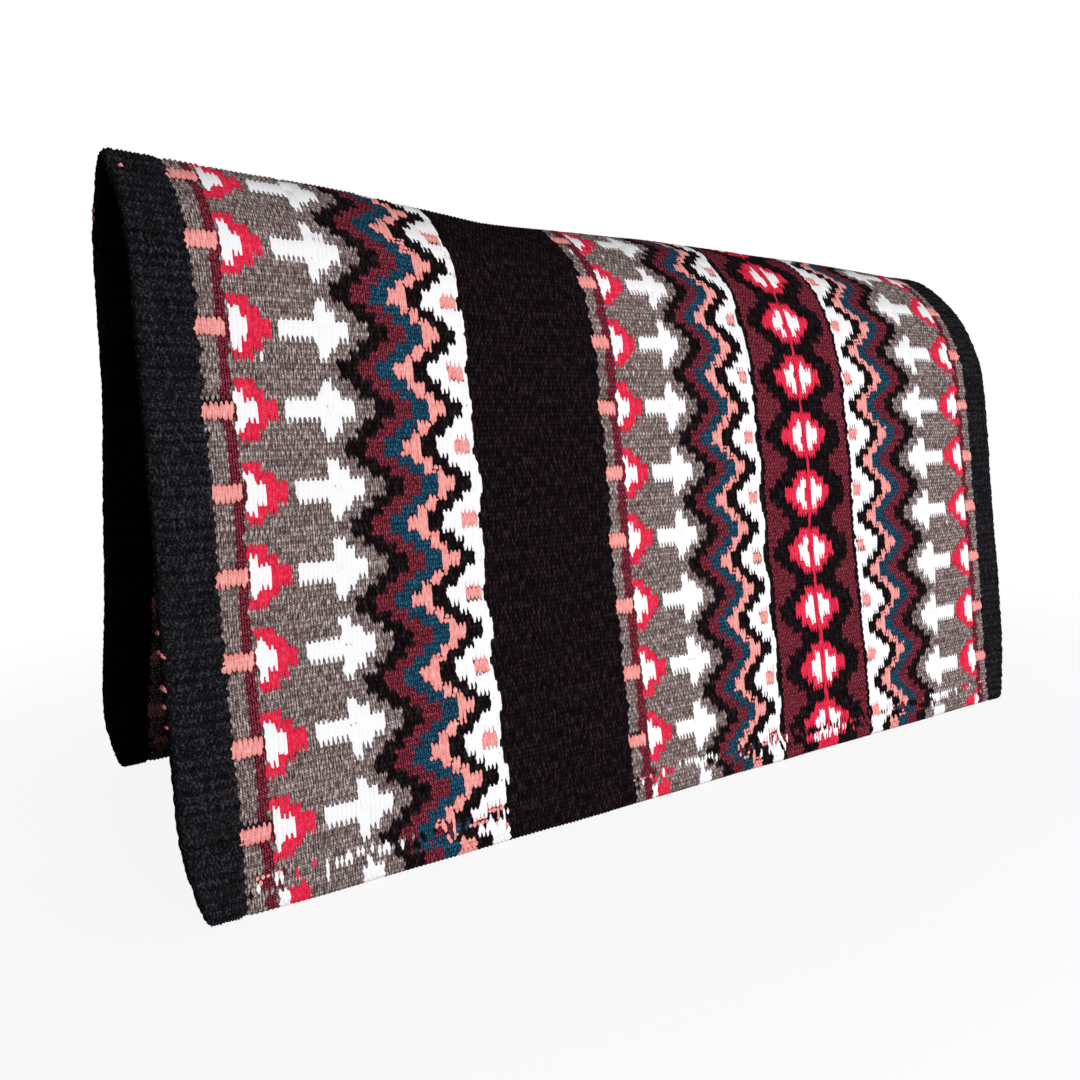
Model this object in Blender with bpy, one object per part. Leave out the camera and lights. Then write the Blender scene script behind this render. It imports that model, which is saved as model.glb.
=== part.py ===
"""Woven wool saddle blanket, folded over its ridge and standing on its two hems.

The web is one cloth of seven weft bands that follow one another along the horse's spine. It stands
sharply folded at the front and in a wide arch at the rear. Every band is parted where the blanket
bends: along the ridge, and along the top of each flap.

Metres. +X runs along the ridge to the rear, -Y is the near side, +Z is up and the floor is z = 0.
"""

import bisect
import math

import bmesh
import bpy
from mathutils import Vector

# Weft bands along the ridge, from the front edge to the rear edge
FRONT_EDGE_WIDTH = 0.036
FRONT_BORDER_WIDTH = 0.192
PLAIN_FIELD_WIDTH = 0.113
MIDDLE_BORDER_WIDTH = 0.175
CENTRE_BAND_WIDTH = 0.121
REAR_BORDER_WIDTH = 0.192
REAR_EDGE_WIDTH = 0.035

# The web
WEB_THICKNESS = 0.010
SEAM_GAP = 0.0003
FLOOR_CUT = 0.0005

# Outer size of the standing blanket at its two ends
FRONT_HEIGHT = 0.466
FRONT_HALF_SPREAD = 0.140
REAR_HEIGHT = 0.454
REAR_HALF_SPREAD = 0.182

# Half sections from ridge to hem, as shares of the half spread and of the height
FRONT_SECTION_SHARES = (
    (0.0, 1.0),
    (0.09, 0.983),
    (0.22, 0.947),
    (0.33, 0.902),
    (0.40, 0.81),
    (0.475, 0.675),
    (0.60, 0.51),
    (0.71, 0.337),
    (0.89, 0.165),
    (1.0, 0.0),
)
REAR_SECTION_SHARES = (
    (0.0, 1.0),
    (0.12, 0.993),
    (0.25, 0.967),
    (0.41, 0.912),
    (0.545, 0.835),
    (0.63, 0.752),
    (0.81, 0.395),
    (1.0, 0.0),
)

# Where a flap starts to hang, as a share of the way from ridge to hem
FLAP_TOP_SHARE = 0.26

# Edges and corners
HEM_RISE = 0.005
HEM_RISE_END_SHARE = 0.55
CORNER_RADIUS = 0.012
CORNER_INSET = 0.012
CORNER_START_SHARE = 0.86
GROOVE_WIDTH = 0.004
GROOVE_DEPTH_SHARE = 0.14
EDGE_ROUND_ANGLES = (math.radians(25), math.radians(50), math.radians(90))

# Fineness of the solids
STATION_SPACING = 0.048
CROWN_STEPS = 8
FLAP_STEPS = 10
CURVE_STEPS = 40
NOSE_STEPS = 6
SMOOTH_ANGLE = math.radians(40)

# Wool colours, linear
BLACK_WOOL = (0.012, 0.011, 0.013)
GREY_WOOL = (0.120, 0.098, 0.086)
BURGUNDY_WOOL = (0.095, 0.018, 0.028)
WOOL_ROUGHNESS = 0.9

BANDS = (
    ("front_edge", FRONT_EDGE_WIDTH, "black_wool"),
    ("front_border", FRONT_BORDER_WIDTH, "grey_wool"),
    ("plain_field", PLAIN_FIELD_WIDTH, "black_wool"),
    ("middle_border", MIDDLE_BORDER_WIDTH, "grey_wool"),
    ("centre_band", CENTRE_BAND_WIDTH, "burgundy_wool"),
    ("rear_border", REAR_BORDER_WIDTH, "grey_wool"),
    ("rear_edge", REAR_EDGE_WIDTH, "black_wool"),
)
COLOURS = {"black_wool": BLACK_WOOL, "grey_wool": GREY_WOOL, "burgundy_wool": BURGUNDY_WOOL}
LENGTH = sum(width for _, width, _ in BANDS)
HALF_THICKNESS = WEB_THICKNESS / 2
HEM_CENTRE_Z = HALF_THICKNESS - FLOOR_CUT
FLAT_HALF_ANGLE = math.acos(HEM_CENTRE_Z / HALF_THICKNESS)
NEAR, FAR = -1, 1


class Midline:
    """Middle of the web in one end section, ridge to hem, read by its share of the way down."""

    def __init__(self, shares, half_spread, height):
        spread = half_spread - HALF_THICKNESS
        drop = height - HALF_THICKNESS - HEM_CENTRE_Z
        knots = [Vector((y * spread, HEM_CENTRE_Z + z * drop)) for y, z in shares]
        self.points = []
        over_the_ridge = Vector((-knots[1].x, knots[1].y))
        for i in range(len(knots) - 1):
            before = knots[i - 1] if i else over_the_ridge
            after = knots[min(i + 2, len(knots) - 1)]
            self.points += hermite_span(before, knots[i], knots[i + 1], after)
        self.points.append(knots[-1])
        self.along = [0.0]
        for a, b in zip(self.points, self.points[1:]):
            self.along.append(self.along[-1] + (b - a).length)
        self.length = self.along[-1]

    def at(self, share):
        distance = min(max(share, 0.0), 1.0) * self.length
        i = min(bisect.bisect_right(self.along, distance), len(self.along) - 1)
        step = self.along[i] - self.along[i - 1]
        a, b = self.points[i - 1], self.points[i]
        return a.lerp(b, (distance - self.along[i - 1]) / step)


def hermite_span(before, start, end, after):
    """Points of a smooth curve from start up to, but without, end."""
    reach = (end - start).length
    leave = (end - before).normalized() * reach
    arrive = (after - start).normalized() * reach
    points = []
    for k in range(CURVE_STEPS):
        t = k / CURVE_STEPS
        hold = (1 + 2 * t) * (1 - t) ** 2
        points.append(
            start * hold
            + end * (1 - hold)
            + leave * (t * (1 - t) ** 2)
            - arrive * (t * t * (1 - t))
        )
    return points


FRONT = Midline(FRONT_SECTION_SHARES, FRONT_HALF_SPREAD, FRONT_HEIGHT)
REAR = Midline(REAR_SECTION_SHARES, REAR_HALF_SPREAD, REAR_HEIGHT)


def along_length(x):
    """Share of the way from the front edge to the rear edge."""
    return min(max(x / LENGTH + 0.5, 0.0), 1.0)


def midpoint(x, share):
    """Middle of the web, (y, z), at a place along the ridge and down the far side's drape."""
    middle = FRONT.at(abs(share)).lerp(REAR.at(abs(share)), along_length(x))
    return Vector((math.copysign(middle.x, share), middle.y))


def drape_length(x):
    return FRONT.length + (REAR.length - FRONT.length) * along_length(x)


def direction(x, share):
    """Unit direction down the drape."""
    reach = HALF_THICKNESS / drape_length(x)
    below = min(share + reach, 1.0)
    return (midpoint(x, below) - midpoint(x, below - 2 * reach)).normalized()


def outward(way):
    return Vector((-way.y, way.x))


def arc(centre, radius, start, end, steps):
    """Points strictly between two angles of an arc, angles measured from +y towards +z."""
    points = []
    for k in range(1, steps):
        angle = start + (end - start) * k / steps
        points.append(centre + Vector((math.cos(angle), math.sin(angle))) * radius)
    return points


def hem_share(x, edge):
    """Where the hem's centre lies: level on the floor, and drawn up beside the front edge band."""
    rise = 0.0
    if edge is None:
        fade = max(1 - along_length(x) / HEM_RISE_END_SHARE, 0.0)
        rise = HEM_RISE * fade * fade * (3 - 2 * fade)
    else:
        inside = min(max(CORNER_RADIUS - edge, 0.0) / CORNER_RADIUS, 1.0)
        rise = CORNER_RADIUS * (1 - math.sqrt(1 - inside * inside))
    return 1 - rise / drape_length(x)


def hem_cap(centre, radius, way):
    """Round underside of the hem, cut flat where it meets the floor."""
    outer = math.atan2(outward(way).y, outward(way).x)
    down = -math.pi / 2
    flat = [
        centre + Vector((math.cos(down + a), math.sin(down + a))) * radius
        for a in (FLAT_HALF_ANGLE, -FLAT_HALF_ANGLE)
    ]
    falling = arc(centre, radius, outer, down + FLAT_HALF_ANGLE, 2)
    rising = arc(centre, radius, down - FLAT_HALF_ANGLE, outer - math.pi, 2)
    return falling + flat + rising


def nose_cap(centre, radius, way):
    """Round upper edge that turns about its own centre, from the inner face to the outer one."""
    inner = math.atan2(-outward(way).y, -outward(way).x)
    return arc(centre, radius, inner, inner - math.pi, NOSE_STEPS)


def ring(x, panel, half, edge):
    """Closed (y, z, share) outline of one panel at one place along the ridge, on the far side."""
    clearance = (HALF_THICKNESS + SEAM_GAP) / drape_length(x)
    first, last, nosed, hemmed = {
        "near_crown": (0.0, FLAP_TOP_SHARE - clearance, True, False),
        "far_crown": (clearance, FLAP_TOP_SHARE - clearance, False, False),
        "flap": (FLAP_TOP_SHARE, hem_share(x, edge), True, True),
    }[panel]
    steps = CROWN_STEPS if "crown" in panel else FLAP_STEPS
    shares = [first + (last - first) * k / steps for k in range(steps + 1)]
    centres = [midpoint(x, share) for share in shares]
    ways = [direction(x, share) for share in shares]
    outer = [(c + outward(w) * half, s) for c, w, s in zip(centres, ways, shares)]
    inner = [(c - outward(w) * half, s) for c, w, s in zip(centres, ways, shares)]
    outline = list(outer)
    if hemmed:
        outline += [(p, last) for p in hem_cap(centres[-1], half, ways[-1])]
    outline += reversed(inner)
    if nosed:
        outline += [(p, first) for p in nose_cap(centres[0], half, ways[0])]
    return outline


def corner_inset(share):
    """How far the blanket's free end is drawn in near the hem."""
    t = max(share - CORNER_START_SHARE, 0.0) / (1 - CORNER_START_SHARE)
    return CORNER_INSET * t * t


def stations(start, end, band):
    """(x, half thickness, distance from the free end) at each place where a band gets a ring."""
    count = max(round((end - start) / STATION_SPACING), 2)
    if "edge" not in band:
        grooves = {0: band == "front_border", count: band == "rear_border"}
        places = []
        for k in range(count + 1):
            x = start + (end - start) * k / count
            sunk = grooves.get(k, False)
            places.append((x, HALF_THICKNESS * (1 - GROOVE_DEPTH_SHARE * sunk), None))
            if k == 0 and sunk:
                places.append((x + GROOVE_WIDTH, HALF_THICKNESS, None))
            if k == count and sunk:
                places.insert(-1, (x - GROOVE_WIDTH, HALF_THICKNESS, None))
        return places
    free, joined = (start, end) if band == "front_edge" else (end, start)
    inward = math.copysign(1.0, joined - free)
    places = []
    for angle in EDGE_ROUND_ANGLES:
        reach = HALF_THICKNESS * (math.cos(EDGE_ROUND_ANGLES[0]) - math.cos(angle))
        places.append((free + inward * reach, HALF_THICKNESS * math.sin(angle), reach))
    places.append((free + inward * CORNER_RADIUS, HALF_THICKNESS, CORNER_RADIUS))
    groove = joined - inward * GROOVE_WIDTH
    places.append((groove, HALF_THICKNESS, abs(groove - free)))
    places.append((joined, HALF_THICKNESS * (1 - GROOVE_DEPTH_SHARE), abs(joined - free)))
    return places


def band_ends(band):
    """Where a band starts and ends along the ridge, with half a seam gap off each joined side."""
    start = -LENGTH / 2
    for name, width, _ in BANDS:
        if name == band:
            break
        start += width
    end = start + width
    if start > -LENGTH / 2:
        start += SEAM_GAP / 2
    if band != BANDS[-1][0]:
        end -= SEAM_GAP / 2
    return start, end


def loft(rings):
    """Closed mesh through a row of matching outlines."""
    mesh = bmesh.new()
    rows = [[mesh.verts.new(point) for point in outline] for outline in rings]
    for a, b in zip(rows, rows[1:]):
        for j in range(len(a)):
            k = (j + 1) % len(a)
            mesh.faces.new((a[j], a[k], b[k], b[j]))
    mesh.faces.new(rows[0])
    mesh.faces.new(rows[-1])
    bmesh.ops.recalc_face_normals(mesh, faces=mesh.faces)
    return mesh


def panel_mesh(band, panel, side, origin):
    start, end = band_ends(band)
    rings = []
    for x, half, edge in stations(start, end, band):
        outline = []
        for point, share in ring(x, panel, half, edge):
            drawn = 0.0
            if edge is not None:
                width = abs(end - start)
                drawn = -math.copysign(corner_inset(share) * (1 - edge / width), x)
            outline.append(Vector((x + drawn, side * point.x, point.y)) - origin)
        rings.append(outline)
    return loft(rings)


def wool(name):
    material = bpy.data.materials.get(name) or bpy.data.materials.new(name)
    material.use_nodes = True
    shader = material.node_tree.nodes["Principled BSDF"]
    shader.inputs["Base Color"].default_value = (*COLOURS[name], 1.0)
    shader.inputs["Roughness"].default_value = WOOL_ROUGHNESS
    shader.inputs["Metallic"].default_value = 0.0
    return material


def bend_point(share, side):
    """Middle of a bend line, halfway along the ridge."""
    middle = midpoint(0.0, share)
    return Vector((0.0, side * middle.x, middle.y))


def axis_empty(name, place, parent, parent_place):
    """Empty on the middle of a bend line, which carries the panels that turn about it."""
    empty = bpy.data.objects.new(name, None)
    bpy.context.scene.collection.objects.link(empty)
    empty.parent = parent
    empty.location = place - parent_place
    return empty


def add_panels(body, panel, side, empty, place):
    """One solid for each weft band of a body."""
    for band, _, colour in BANDS:
        mesh = bpy.data.meshes.new(f"{body}_{band}")
        shape = panel_mesh(band, panel, side, place)
        shape.to_mesh(mesh)
        shape.free()
        mesh.shade_smooth()
        mesh.set_sharp_from_angle(angle=SMOOTH_ANGLE)
        mesh.materials.append(wool(colour))
        node = bpy.data.objects.new(f"{body}_{band}", mesh)
        node.parent = empty
        bpy.context.scene.collection.objects.link(node)


def build():
    for old in list(bpy.data.objects):
        bpy.data.objects.remove(old)
    ridge = bend_point(0.0, NEAR)
    near_top = bend_point(FLAP_TOP_SHARE, NEAR)
    far_top = bend_point(FLAP_TOP_SHARE, FAR)
    near_crown = axis_empty("near_crown_axis", ridge, None, Vector())
    far_crown = axis_empty("far_crown_axis", ridge, near_crown, ridge)
    near_flap = axis_empty("near_flap_axis", near_top, near_crown, ridge)
    far_flap = axis_empty("far_flap_axis", far_top, far_crown, ridge)
    add_panels("near_crown", "near_crown", NEAR, near_crown, ridge)
    add_panels("far_crown", "far_crown", FAR, far_crown, ridge)
    add_panels("near_flap", "flap", NEAR, near_flap, near_top)
    add_panels("far_flap", "flap", FAR, far_flap, far_top)


build()
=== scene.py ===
"""Looks of a woven wool saddle blanket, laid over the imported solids.

The blanket is woven flat and then laid on its core: rows of yarn floats, placed on a warp grid and
coloured by the pattern, are mapped onto the draped surface by one geometry nodes tree.
"""

import math
from collections import namedtuple
from functools import partial

import bpy
import numpy as np
from mathutils import Matrix, Vector


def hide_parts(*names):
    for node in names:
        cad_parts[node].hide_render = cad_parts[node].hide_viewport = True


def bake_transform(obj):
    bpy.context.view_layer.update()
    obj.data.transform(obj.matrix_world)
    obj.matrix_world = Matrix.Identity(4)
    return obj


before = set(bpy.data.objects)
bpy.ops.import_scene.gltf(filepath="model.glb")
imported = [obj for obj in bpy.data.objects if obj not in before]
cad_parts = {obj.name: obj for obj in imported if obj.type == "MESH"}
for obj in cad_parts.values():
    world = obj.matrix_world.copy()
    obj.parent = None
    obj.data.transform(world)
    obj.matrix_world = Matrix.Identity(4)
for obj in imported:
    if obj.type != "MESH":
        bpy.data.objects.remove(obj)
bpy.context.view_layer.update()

MM = 0.001

# The blanket, in metres: the same sizes as the solids
HALF_LENGTH = 0.432
HALF_THICKNESS = 0.005
FRONT_HEIGHT, FRONT_HALF_SPREAD = 0.466, 0.140
REAR_HEIGHT, REAR_HALF_SPREAD = 0.454, 0.182
HEM_CENTRE_Z = 0.0045
FRONT_SECTION_SHARES = (
    (0.0, 1.0), (0.09, 0.983), (0.22, 0.947), (0.33, 0.902), (0.40, 0.81),
    (0.475, 0.675), (0.60, 0.51), (0.71, 0.337), (0.89, 0.165), (1.0, 0.0),
)
REAR_SECTION_SHARES = (
    (0.0, 1.0), (0.12, 0.993), (0.25, 0.967), (0.41, 0.912),
    (0.545, 0.835), (0.63, 0.752), (0.81, 0.395), (1.0, 0.0),
)

# Steps between two knots of a section, and how far to either side its direction is read
CURVE_STEPS = 40
TANGENT_STEP = 2 * MM

# Each end of a hem is drawn up and back, in metres. In the solids the radius is 3 mm larger, and
# the hem also rises by 5 mm towards the front
CORNER_RADIUS, CORNER_INSET, CORNER_START_SHARE = 0.009, 0.012, 0.86

# The edge bands are plump, with a groove where they join the border
EDGE_BAND_WIDTH = 0.036
GROOVE_DEPTH, GROOVE_WIDTH = 1.3 * MM, 2.4 * MM
PLUMP_HEIGHT, PLUMP_FADE = 0.5 * MM, 6 * MM

# The front edge isn't straight: (share of the drape, how far the edge is drawn back)
FRONT_BOW = (
    (-1.0, -0.002), (-0.8, -0.001), (-0.5, 0.003), (-0.2, 0.004),
    (0.0, 0.002), (0.35, 0.010), (1.0, 0.010),
)

# The ridge line dips where the plain field sags: (place from the middle, height) in metres
RIDGE_LINE = (
    (-0.432, 0.0035), (-0.32, 0.001), (-0.25, -0.002), (-0.15, -0.0075), (-0.06, -0.005),
    (0.04, -0.0025), (0.2, -0.0005), (0.432, -0.0015),
)
RIDGE_LINE_SHARE = 0.32

# Hand-woven unevenness of the web. Each ripple has its height and two waves that multiply: radians
# per metre along the ridge, radians per metre down the cloth, and phase
RIPPLES = (
    (0.8 * MM, (19, 7, 0.6), (-5, 23, 1.1)),
    (0.35 * MM, (47, -31, 2.0), (13, 61, 0.0)),
)

# The weave, counted in warps from the middle of the cloth. A pattern row takes 16 of them and is
# alike on both sides of its middle, in four levels. The inner face counts on past the hem
WARPS_PER_ROW = 16
LEVELS = 4
HEM_WARP = 150
CAP_WARPS = 5
INNER_WARPS = 2 * HEM_WARP + CAP_WARPS
CUT_WARP = 20
WARP_PITCH = 3.33 * MM
NEAR_WARP_PITCH = (3.31 * MM, 3.34 * MM)
PICK_SPACING = 3.3 * MM
BODY_WARPS = {
    "near_drape": (-HEM_WARP, -CUT_WARP),
    "ridge": (-CUT_WARP, CUT_WARP),
    "far_drape": (CUT_WARP, HEM_WARP),
}

# A float of yarn, the core that it lies on, and how much higher loose fibres and short ends lie
CROWN_HEIGHT = 1.3 * MM
SUNK_EDGE = 0.3 * MM
CORE_HALF = HALF_THICKNESS - CROWN_HEIGHT
TIP_LENGTH = 1.25 * WARP_PITCH
FLOAT_LENGTH = 2.5 * WARP_PITCH
FLOAT_WIDTH = 1.22 * PICK_SPACING
PROUD = 0.8 * MM

# How far round a free edge the core, the map of the cloth and the yarn go
CORE_TURN, MAP_TURN, YARN_TURN = (math.radians(angle) for angle in (88, 122, 66))
BEND_START = HALF_LENGTH - HALF_THICKNESS
MAP_REACH = BEND_START + CORE_HALF * MAP_TURN - 0.05 * MM
CORE_OVER_FLOOR = 0.4 * MM

# How many places the meshes have: round a free edge, beside it for this many metres and along the
# rest, then down the outer face, round the hem and up the inner face of the map, with spare warps.
# The core has them over the ridge, down an outer face and round the hem
EDGE_ZONE = 0.048
STATIONS_ROUND, STATIONS_BESIDE, STATIONS_ALONG = 9, 19, 53
MAP_OUTER, MAP_CAP, MAP_INNER, MAP_SPARE_WARPS = 130, 13, 110, 3
CORE_RIDGE, CORE_OUTER, CORE_CAP = 49, 100, 12

# Yarns, by number
YARNS = ("charcoal", "black", "grey", "burgundy", "crimson", "white", "salmon", "teal", "loose")
CHARCOAL, BLACK, GREY, BURGUNDY, CRIMSON, WHITE, SALMON, TEAL, LOOSE = range(len(YARNS))
BRIGHT = (CRIMSON, WHITE, SALMON)

# How much longer than the ground's the floats of a bright yarn are, in warps
REACH = {CRIMSON: 0.5, WHITE: 0.8, SALMON: -1.2}

# Weft bands in millimetres from the front edge, with the record's slot for each
BANDS = (
    ("front_edge", 0.0, 36.0, "black_wool"),
    ("front_border", 36.0, 228.0, "grey_wool"),
    ("plain_field", 228.0, 341.0, "black_wool"),
    ("middle_border", 341.0, 516.0, "grey_wool"),
    ("centre_band", 516.0, 637.0, "burgundy_wool"),
    ("rear_border", 637.0, 829.0, "grey_wool"),
    ("rear_edge", 829.0, 864.0, "black_wool"),
)

# A border runs inwards from its outer edge, in millimetres. Stripes start where a row is, and each
# level towards the half row moves them outwards by one step
Border = namedtuple(
    "Border", "outer way block line thin motif motif_step motif_top cross stripes step edge dot"
)
FRONT_BORDER = Border(
    outer=35.0, way=1, block=(0.5, 20.5), line=(13.5, 20.0), thin=(20.0, 22.5),
    motif=(22.0, 35.0, 48.5), motif_step=(22.0, 28.0, 41.0), motif_top=(21.0, 34.0),
    cross=(54.0, 78.0, 85.5, 93.0, 101.5),
    stripes=(116.0, 131.0, 144.5, 157.5, 171.5, 184.5), step=8.1, edge=(192.5, 189.0),
    dot=(174.5, 187.0),
)
MIDDLE_BORDER = Border(
    outer=341.0, way=1, block=(0.0, 16.5), line=(11.0, 19.5), thin=(16.5, 19.5),
    motif=(19.5, 31.5, 44.0), motif_step=(19.5, 24.5, 37.0), motif_top=(19.0, 30.0),
    cross=(48.5, 70.0, 77.0, 84.0, 91.5),
    stripes=(104.0, 117.5, 129.0, 140.0, 152.0, 165.0), step=7.5, edge=(172.5, 168.5),
    dot=(155.5, 166.0),
)
REAR_BORDER = Border(
    outer=831.0, way=-1, block=(0.0, 20.0), line=(14.0, 22.5), thin=(20.0, 22.5),
    motif=(22.0, 36.0, 50.0), motif_step=(22.0, 29.0, 43.0), motif_top=(20.0, 34.0),
    cross=(54.0, 82.0, 91.0, 100.0, 108.5),
    stripes=(123.0, 137.5, 152.5, 165.5, 179.0, 191.0), step=8.7, edge=(198.0, 197.0),
    dot=(184.0, 195.5),
)

# The yarns of a border's stripes, then in millimetres: the width of its charcoal outer edge, how
# far it goes on past its two ends, and the stretch of cloth where its charcoal is black instead
STRIPE_YARNS = (BLACK, BURGUNDY, TEAL, SALMON, BLACK, WHITE)
CHARCOAL_LAP = 2.2
BORDER_LAPS = (1.0, 0.5)
MIDDLE_BORDER_START = (300, 400)

# The centre band: (reach towards the front, reach towards the rear) from its axis, per level
CENTRE_AXIS = 572.0
CENTRE_GROUND = (517.5, 629.5)
CENTRE_LAP = 3.0
CENTRE_BLACK = ((26.0, 30.5), (34.0, 38.5), (42.5, 47.0), (49.0, 49.5))
CENTRE_LINE = 1.7
OVAL = ((CENTRE_LINE, CENTRE_LINE), (14.0, 12.5), (21.0, 20.5), (29.0, 29.0))
OVAL_WHITE = ((), (), ((-10.0, -4.0), (3.0, 9.0)), ((-15.5, -4.0), (3.0, 18.0)))

# Unevenness of the pattern, in millimetres: how far a row and one of its levels are pulled
ROW_PULL, LEVEL_PULL = 1.6, 1.2

# Warps by the hem where the ends of the yarns are darned in and the pattern is broken up: how far a
# darn strays, how long it is, how long a stretch with a wrong level is, and the share of right ones
TURNED_BACK = (HEM_WARP - 6, HEM_WARP - 2)
DARN_STRAY, DARN_LENGTH, WRONG_LENGTH, RIGHT_SHARE = 13.0, 3.3, 4, 0.55

# White specks in the grey: their share, how much more there are in the darning, and how many places
# for one there are in a millimetre
SPECK_SHARE, DARN_SPECK_SHARE, SPECK_PLACES = 0.0014, 0.02, 3

SEED = 11
SIDE_SEED = 500


# Shape of the draped web

def hermite_span(before, start, end, after):
    """Points of a smooth curve from start up to, but without, end."""
    reach = np.linalg.norm(end - start)
    leave = (end - before) / np.linalg.norm(end - before) * reach
    arrive = (after - start) / np.linalg.norm(after - start) * reach
    t = (np.arange(CURVE_STEPS) / CURVE_STEPS)[:, None]
    hold = (1 + 2 * t) * (1 - t) ** 2
    return start * hold + end * (1 - hold) + leave * t * (1 - t) ** 2 - arrive * t * t * (1 - t)


class Midline:
    """Middle of the web in one end section, ridge to hem, read by its share of the way down."""

    def __init__(self, shares, half_spread, height):
        spread = half_spread - HALF_THICKNESS
        drop = height - HALF_THICKNESS - HEM_CENTRE_Z
        knots = [np.array((y * spread, HEM_CENTRE_Z + z * drop)) for y, z in shares]
        befores = [knots[1] * (-1, 1)] + knots[:-2]
        afters = knots[2:] + [knots[-1]]
        spans = [hermite_span(*four) for four in zip(befores, knots, knots[1:], afters)]
        self.points = np.vstack(spans + [knots[-1]])
        steps = np.linalg.norm(np.diff(self.points, axis=0), axis=1)
        self.along = np.concatenate([[0.0], np.cumsum(steps)])
        self.length = self.along[-1]

    def at(self, share):
        distance = np.clip(share, 0, 1) * self.length
        return [np.interp(distance, self.along, self.points[:, k]) for k in (0, 1)]


FRONT = Midline(FRONT_SECTION_SHARES, FRONT_HALF_SPREAD, FRONT_HEIGHT)
REAR = Midline(REAR_SECTION_SHARES, REAR_HALF_SPREAD, REAR_HEIGHT)


def along_length(x):
    return np.clip(x / (2 * HALF_LENGTH) + 0.5, 0, 1)


def midpoint(x, share):
    """Middle of the web, (y, z). A share below zero is on the near side."""
    t = along_length(x)
    front_y, front_z = FRONT.at(abs(share))
    rear_y, rear_z = REAR.at(abs(share))
    y = np.sign(share) * (front_y + (rear_y - front_y) * t)
    return y, front_z + (rear_z - front_z) * t


def drape_length(x):
    return FRONT.length + (REAR.length - FRONT.length) * along_length(x)


def smooth(t):
    t = np.clip(t, 0, 1)
    return t * t * (3 - 2 * t)


def hem_share(x):
    """Where the hem's centre lies: level on the floor, and drawn up round the corners."""
    edge = np.maximum(HALF_LENGTH - abs(x), 0)
    inside = np.clip((CORNER_RADIUS - edge) / CORNER_RADIUS, 0, 1)
    return 1 - CORNER_RADIUS * (1 - np.sqrt(1 - inside * inside)) / drape_length(x)


def warp_share(warp, x):
    """Share of the drape where a warp lies, below zero on the near side.

    The cloth lies a little askew over the ridge: the near side's warps run level with its hem, and
    the far side takes up the difference.
    """
    length = drape_length(x)
    front, rear = NEAR_WARP_PITCH
    near_pitch = front + (rear - front) * along_length(x)
    far_pitch = 2 * length / HEM_WARP - near_pitch
    near = (HEM_WARP + warp) * near_pitch / length - 1
    far = 1 - (HEM_WARP - warp) * far_pitch / length
    return np.where(warp < 0, near, far)


def ripple(x, warp):
    """Slow and quicker unevenness of the web, along its normal."""
    down = warp * WARP_PITCH
    height = 0.0
    for size, *waves in RIPPLES:
        first, second = [np.sin(x * along + down * across + phase) for along, across, phase in waves]
        height = height + size * (first * second)
    return height


def half_core(x):
    """Half thickness of the web under the yarn."""
    edge = HALF_LENGTH - abs(x)
    groove = np.exp(-(((edge - EDGE_BAND_WIDTH) / GROOVE_WIDTH) ** 2))
    plump = smooth((EDGE_BAND_WIDTH - edge) / PLUMP_FADE)
    return CORE_HALF - GROOVE_DEPTH * groove + PLUMP_HEIGHT * plump


def fold_at_hem(flat_y):
    """(warp, angle turned round the hem, side) of a place on the flat cloth.

    flat_y is 0 in the middle of the cloth, grows down the far side's outer face, round its hem and
    up its inner face, and falls the same way on the near side.
    """
    side = np.where(flat_y < 0, -1.0, 1.0)
    warp = abs(flat_y) / WARP_PITCH
    round_hem = np.clip((warp - HEM_WARP) / CAP_WARPS, 0, 1) * math.pi
    inner = warp > HEM_WARP + CAP_WARPS / 2
    warp = np.where(inner, INNER_WARPS - warp, warp)
    return np.minimum(warp, HEM_WARP) * side, round_hem, side


def way_across(x, share):
    """Direction (y, z) in which the web runs, from the near hem to the far one."""
    step = TANGENT_STEP / FRONT.length
    y1, z1 = midpoint(x, np.minimum(share + step, 1.0))
    y0, z0 = midpoint(x, np.maximum(share - step, -1.0))
    size = np.hypot(y1 - y0, z1 - z0)
    return (y1 - y0) / size, (z1 - z0) / size


def on_web(flat_x, flat_y):
    """Place and outward normal on the core for flat cloth coordinates."""
    warp, round_hem, side = fold_at_hem(flat_y)
    turn = np.clip((abs(flat_x) - BEND_START) / CORE_HALF, 0, None)
    x = np.clip(flat_x, -BEND_START, BEND_START)
    end = np.sign(x)
    reach_x = x + end * HALF_THICKNESS * np.sin(turn)
    share = warp_share(warp, x) * hem_share(reach_x)
    y, z = midpoint(x, share)
    z = z + np.interp(x, *np.transpose(RIDGE_LINE)) * smooth(1 - abs(share) / RIDGE_LINE_SHARE)
    way_y, way_z = way_across(x, share)
    out_y, out_z = -way_z, way_y
    normal_y = np.cos(round_hem) * out_y + np.sin(round_hem) * way_y * side
    normal_z = np.cos(round_hem) * out_z + np.sin(round_hem) * way_z * side
    lift = ripple(x, warp) * np.cos(np.minimum(turn, math.pi / 2))
    half = half_core(x)
    hem_part = np.clip((abs(share) - CORNER_START_SHARE) / (1 - CORNER_START_SHARE), 0, 1)
    edge = np.maximum(HALF_LENGTH - abs(reach_x), 0)
    drawn = CORNER_INSET * hem_part**2 * np.clip(1 - edge / EDGE_BAND_WIDTH, 0, 1)
    px = x + end * (CORE_HALF * np.sin(turn) - drawn)
    py = y + out_y * lift + normal_y * half * np.cos(turn)
    pz = z + out_z * lift + normal_z * half * np.cos(turn)
    normal = [end * np.sin(turn), normal_y * np.cos(turn), normal_z * np.cos(turn)]
    bow = np.interp(share, *np.transpose(FRONT_BOW)) * (1 - along_length(x))
    return np.stack([px + bow, py, pz], -1), np.stack(normal, -1)


# Mesh helpers

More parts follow.
